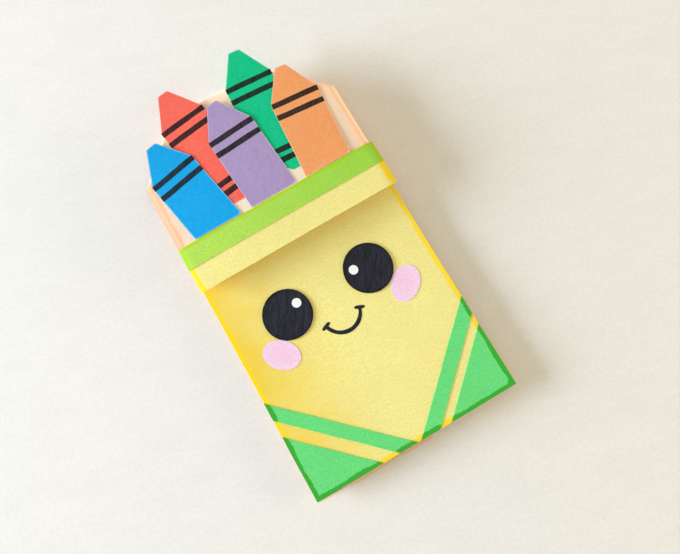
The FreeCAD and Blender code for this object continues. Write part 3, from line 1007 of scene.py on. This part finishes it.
class PUPPET_OT_crayons(bpy.types.Operator):
    """Five paper crayons with their black marker bands"""
    bl_idname = "puppet.crayons"
    bl_label = "Crayons"

    twists = (0.5, -0.35, -0.6, 0.3, -0.4)      # which long edge of each is higher, and how much
    low_pair = ("red", "green")                 # these show a second pair of bands near the foot
    low_pair_height = 17.6 * MM
    low_pitch_share = 0.78
    below_shoulder = 1.4 * MM

    def parts_of(self, node):
        """Foot, shoulder and tip corners of a crayon, each pair left then right."""
        corners = sorted(node_outline(node), key=lambda p: p.y)
        pairs = corners[:2], corners[2:4], corners[4:]
        return [sorted(pair, key=lambda p: p.x) for pair in pairs]

    def execute(self, context):
        for index, name in enumerate(CRAYONS):
            node = f"crayon_{name}"
            low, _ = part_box(node)
            foot, shoulder, tip = self.parts_of(node)
            axis = ((tip[0] + tip[1]) - (shoulder[0] + shoulder[1])).normalized()
            across = Vector((axis.y, -axis.x))
            root = (foot[0] + foot[1]) / 2
            reach = ((tip[0] + tip[1]) / 2 - root).length

            def settle(x, y):
                """Glued at its foot, the crayon lifts towards its free tip."""
                offset = Vector((x, y)) - root
                t = max(0.0, offset.dot(axis) / reach)
                bow = offset.dot(across) * self.twists[index] * 0.02 * t
                curl = sizes().tip_curl * t ** 3
                return jaw_crown(x, min(y, FOLD_Y)) + curl + bow + 0.04 * MM * (1 + t)

            base = getattr(colours(), node)
            slot = f"{node}_paper"
            paper = paper_material(f"Crayon {name} paper", base, streaks=0.35, rim=0.55)
            glued_sheet(f"Crayon_{name}", node, paper, "upper_jaw", slot, settle=settle,
                        step=2.5 * MM)
            ink = ink_material(f"Band ink {name}", toned(base, 0.03, 0.006), glow=1.7)
            pitch = sizes().band_pitch
            upper = ((shoulder[0] + shoulder[1]) / 2 - root).dot(axis) - self.below_shoulder
            levels = [upper, upper - pitch]
            if name in self.low_pair:
                levels += [self.low_pair_height,
                           self.low_pair_height - self.low_pitch_share * pitch]
            for number, level in enumerate(levels):
                band = self.band(f"Band_{name}_{number + 1}", root, axis, across, level, low.z,
                                 number)
                lift(band, settle)
                lift(band, lambda x, y: sizes().card_thickness + HAIR)
                thicken(band, sizes().ink_thickness)
                mark_rim(band, lambda x, y: FAR)
                dress(band, ink, "upper_jaw", slot)
        return {"FINISHED"}

    def band(self, name, root, axis, across, level, z, seed):
        """One marker band: a strip across the crayon, as far from its foot as level says."""
        half, unevenness = 17.8 * MM, 0.35 * MM
        width = sizes().crayon_band

        def place(u, v):
            """u runs across the crayon, v along it; the long edges are slightly uneven."""
            x = (2 * u - 1) * half
            wobble = noise.noise(Vector((x * 90, seed * 3.7 + level * 50, v * 2))) * unevenness
            y = level + (v - 0.5) * width + wobble
            spot = root + across * x + axis * y
            return Vector((spot.x, spot.y, z))

        return shaped_grid(name, 24, 3, place)


# ---------------------------------------------------------------- the face
class PUPPET_OT_face_sheet(bpy.types.Operator):
    """Yellow sheet glued to the bag's front"""
    bl_idname = "puppet.face_sheet"
    bl_label = "Face sheet"

    def execute(self, context):
        def marked(a, b):
            return max(a.y, b.y) < FACE_LOW.y + MM or abs(a.x - b.x) < MM

        # Painted shade: the yellow deepens from the middle towards the face's left edge.
        left_shade = (colours().yellow_left_shade, 2 * MM, -80 * MM, 0.95)
        paper = paper_material("Yellow face paper", colours().yellow, colours().yellow_marker,
                               graded=left_shade)
        glued_sheet("Face_sheet", "face_sheet", paper, "front", "yellow_paper", marked)
        return {"FINISHED"}


class PUPPET_OT_corners(bpy.types.Operator):
    """Green triangle and stripe in each lower corner"""
    bl_idname = "puppet.corners"
    bl_label = "Green corners"

    def execute(self, context):
        def outer(a, b):
            on_end = max(a.y, b.y) < FACE_LOW.y + MM
            on_side = min(abs(a.x), abs(b.x)) > HALF - MM
            return on_end or on_side

        material = paper_material("Green paper", colours().green, colours().green_marker)
        for side in ("left", "right"):
            for part in ("corner", "stripe"):
                glued_sheet(f"Green_{part}_{side}", f"{side}_{part}", material, "front",
                            "green_paper", outer)
        return {"FINISHED"}


def round_sheet(name, node, rings=7, points=72):
    """A round sheet the size of a node's disc: rings inset from its rim towards the middle."""
    low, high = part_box(node)
    centre = centre_of(node)
    radius = (high.x - low.x) / 2
    select_only()
    bpy.ops.mesh.primitive_circle_add(vertices=points, radius=radius, fill_type="NGON",
                                      location=(centre.x, centre.y, low.z))
    piece = finish_primitive(name)

    def inset():
        for _ in range(rings - 1):
            bpy.ops.mesh.inset(thickness=radius / rings, depth=0)

    in_edit_mode(piece, inset)
    return piece, centre, radius


class PUPPET_OT_eyes(bpy.types.Operator):
    """Black discs coloured with a marker, and their white glints"""
    bl_idname = "puppet.eyes"
    bl_label = "Eyes"

    def execute(self, context):
        ink = ink_material("Eye ink", colours().black)
        paper = paper_material("Glint paper", colours().white, cloud=0.1, mottle=0.2)
        for part, material, slot, rise in (("eye", ink, "black_card", 0.25 * MM),
                                           ("glint", paper, "white_paper", 0.0)):
            right, right_centre, radius = round_sheet(f"{part.title()}_right", f"right_{part}")
            left_centre = centre_of(f"left_{part}")
            left = copy_piece(right, f"{part.title()}_left", shift=left_centre - right_centre)
            for piece, side, centre in ((right, "right", right_centre),
                                        (left, "left", left_centre)):
                def inside(x, y):
                    return radius - math.hypot(x - centre.x, y - centre.y)

                def dish(x, y):
                    """The rim stands a little higher than the middle."""
                    square = (x - centre.x) ** 2 + (y - centre.y) ** 2
                    return GAP + rise * square / radius ** 2

                hand_cut(piece)
                ripple(piece)
                lift(piece, dish)
                thicken(piece, sizes().card_thickness)
                mark_rim(piece, inside)
                dress(piece, material, "front", slot, f"{side}_{part}")
        return {"FINISHED"}


class PUPPET_OT_cheeks(bpy.types.Operator):
    """Pink ovals tucked under the eyes' lower outer edges"""
    bl_idname = "puppet.cheeks"
    bl_label = "Cheeks"

    def execute(self, context):
        low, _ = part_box("right_cheek")
        right_centre, left_centre = centre_of("right_cheek"), centre_of("left_cheek")
        tilt = math.radians(44)
        along = Vector((math.cos(tilt), math.sin(tilt)))
        beside = Vector((-along.y, along.x))
        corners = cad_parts["right_cheek"].data.vertices
        offsets = [corner.co.xy - right_centre.xy for corner in corners]
        long_half = max(abs(offset.dot(along)) for offset in offsets)
        short_half = max(abs(offset.dot(beside)) for offset in offsets)
        select_only()
        bpy.ops.mesh.primitive_circle_add(
            vertices=64, radius=short_half, fill_type="NGON", rotation=(0, 0, tilt),
            location=(right_centre.x, right_centre.y, low.z))
        bpy.context.object.scale.x = long_half / short_half
        right = finish_primitive("Cheek_right")
        rings, ring_width = 4, short_half / 7

        def inset():
            for _ in range(rings):
                bpy.ops.mesh.inset(thickness=ring_width, depth=0)

        in_edit_mode(right, inset)
        left = copy_piece(right, "Cheek_left", shift=(left_centre.x + right_centre.x, 0, 0),
                          mirror=True)
        for piece, side, centre, sign in ((right, "right", right_centre, 1),
                                          (left, "left", left_centre, -1)):
            def depth(x, y):
                offset = Vector(((x - centre.x) * sign, y - centre.y))
                out = math.hypot(offset.dot(along) / long_half, offset.dot(beside) / short_half)
                return (1 - out) * short_half

            hand_cut(piece)
            ripple(piece)
            thicken(piece, sizes().card_thickness * 0.7)
            mark_rim(piece, depth)
            dress(piece, cheek_material(), "front", "pink_paper", f"{side}_cheek")
        return {"FINISHED"}


class PUPPET_OT_smile(bpy.types.Operator):
    """The drawn smile: an arc with a short tick across each end"""
    bl_idname = "puppet.smile"
    bl_label = "Smile"

    def execute(self, context):
        middle = (centre_of("left_eye") + centre_of("right_eye")) / 2
        centre = Vector((middle.x, middle.y - sizes().smile_drop))
        radius = sizes().smile_radius
        half = sizes().smile_width / 2
        z = FACE_HIGH.z - 2 * HAIR
        spread = math.radians(76)       # from the lowest point to each end
        tick_lean = math.radians(22)
        tick_half = 3.6 * MM

        def arc(u, v):
            angle = -math.pi / 2 + (2 * u - 1) * spread
            taper = 0.78 + 0.22 * math.sin(math.pi * u) + 0.05 * math.sin(u * 19)
            distance = radius + (v - 0.5) * 2 * half * taper
            return Vector((centre.x + distance * math.cos(angle),
                           centre.y + distance * math.sin(angle), z))

        pieces = [shaped_grid("Smile_line", 48, 4, arc)]
        for side, sign in (("left", -1), ("right", 1)):
            angle = -math.pi / 2 + sign * spread
            end = centre + Vector((math.cos(angle), math.sin(angle))) * radius
            lean = Vector((math.cos(tick_lean), sign * -math.sin(tick_lean)))

            def tick(u, v):
                run = (2 * u - 1) * tick_half
                width = half * 0.85 * math.sqrt(max(0.15, 1 - (2 * u - 1) ** 4))
                spot = end + lean * run + Vector((-lean.y, lean.x)) * (2 * v - 1) * width
                return Vector((spot.x, spot.y, z + HAIR))

            pieces.append(shaped_grid(f"Smile_tick_{side}", 12, 3, tick))
        for piece in pieces:
            ripple(piece)
            thicken(piece, sizes().ink_thickness * 2)
            mark_rim(piece, lambda x, y: FAR)
            dress(piece, ink_material("Smile ink", colours().black), "front", "black_card")
        return {"FINISHED"}


# ---------------------------------------------------------------- stage
class PUPPET_OT_stage(bpy.types.Operator):
    """Pale floor, soft light and the camera"""
    bl_idname = "puppet.stage"
    bl_label = "Stage"

    def execute(self, context):
        self.floor()
        world = bpy.data.worlds.new("Soft room")
        world.use_nodes = True
        background = world.node_tree.nodes["Background"]
        background.inputs["Color"].default_value = (1.0, 0.885, 0.71, 1)
        background.inputs["Strength"].default_value = 0.62
        context.scene.world = world
        self.soft_light("Window", (-2.58, 1.10, 0.44), width=1.9, height=0.8, power=294,
                        tint=(0.68, 0.79, 1.0))
        self.soft_light("Bounce", (1.60, -0.65, 0.26), width=1.2, height=0.5, power=19,
                        tint=(1.0, 0.86, 0.66))
        self.camera(context.scene, place=(-0.0046, -0.0681, 0.3709), turn=(8.4, 2.06, -30.13),
                    lens=28.26)
        context.scene.view_settings.view_transform = "Standard"
        return {"FINISHED"}

    def floor(self):
        """A painted table top, just under the bag."""
        select_only()
        bpy.ops.mesh.primitive_plane_add(size=6, location=(0, 0, -0.3 * MM))
        floor = finish_primitive("Floor")
        material, n, shader = start_material("Floor paint")
        space = n.space()
        base = colours().floor
        cloud = n.noise(space, 5, detail=3)
        fine = n.noise(space, 420, detail=3)
        plaster = n.noise(n.stretch(space, (26, 60, 40), turn=0.3), 1.0, detail=6, roughness=0.7)
        tone = n.wash(base, cloud, 0.35, toned(base, 0.95))
        tone = n.mix(n.ramp(plaster, 0.35, 0.7), tone, toned(base, 0.955))
        tone = n.wash(tone, n.ramp(fine, 0.35, 0.65), 0.4, toned(base, 0.88))
        n.finish(shader, tone, 0.8, fine, strength=0.15, depth=0.2 * MM)
        floor.data.materials.append(material)

    def camera(self, scene, place, turn, lens):
        camera = bpy.data.objects.new("Camera", bpy.data.cameras.new("Camera"))
        scene.collection.objects.link(camera)
        camera.data.sensor_width = 36
        camera.data.lens = lens
        camera.data.clip_start = 0.01
        camera.location = place
        camera.rotation_euler = [math.radians(degrees) for degrees in turn]
        scene.camera = camera

    def soft_light(self, name, place, width, height, power, tint):
        """A low, wide soft light aimed at the object, like a window beside the table."""
        data = bpy.data.lights.new(name, "AREA")
        data.shape = "RECTANGLE"
        data.size = width
        data.size_y = height
        data.energy = power
        data.color = tint
        light = bpy.data.objects.new(name, data)
        bpy.context.scene.collection.objects.link(light)
        light.location = place
        light.rotation_euler = (-Vector(place)).to_track_quat("-Z", "Y").to_euler()


OPERATORS = (
    PUPPET_OT_stage, PUPPET_OT_bag_back, PUPPET_OT_bag_pleats, PUPPET_OT_bag_front,
    PUPPET_OT_face_sheet, PUPPET_OT_corners, PUPPET_OT_eyes, PUPPET_OT_cheeks, PUPPET_OT_smile,
    PUPPET_OT_jaw_shell, PUPPET_OT_mouth_lining, PUPPET_OT_strip, PUPPET_OT_crayons,
)


class PUPPET_PT_panel(bpy.types.Panel):
    """Buttons for every piece, with its sizes and colours"""
    bl_idname = "PUPPET_PT_panel"
    bl_label = "Paper Bag Puppet"
    bl_space_type = "VIEW_3D"
    bl_region_type = "UI"
    bl_category = "Puppet"

    def draw(self, context):
        for operator in OPERATORS:
            self.layout.operator(operator.bl_idname)
        for group in (context.scene.puppet_sizes, context.scene.puppet_colours):
            box = self.layout.box()
            for key in group.__annotations__:
                box.prop(group, key)


CLASSES = (PuppetSizes, PuppetColours, *OPERATORS, PUPPET_PT_panel)


def register():
    for item in CLASSES:
        bpy.utils.register_class(item)
    bpy.types.Scene.puppet_sizes = bpy.props.PointerProperty(type=PuppetSizes)
    bpy.types.Scene.puppet_colours = bpy.props.PointerProperty(type=PuppetColours)


def unregister():
    del bpy.types.Scene.puppet_colours
    del bpy.types.Scene.puppet_sizes
    for item in reversed(CLASSES):
        bpy.utils.unregister_class(item)


def main():
    register()
    for operator in OPERATORS:
        group, name = operator.bl_idname.split(".")
        getattr(getattr(bpy.ops, group), name)()


if __name__ == "__main__":
    main()
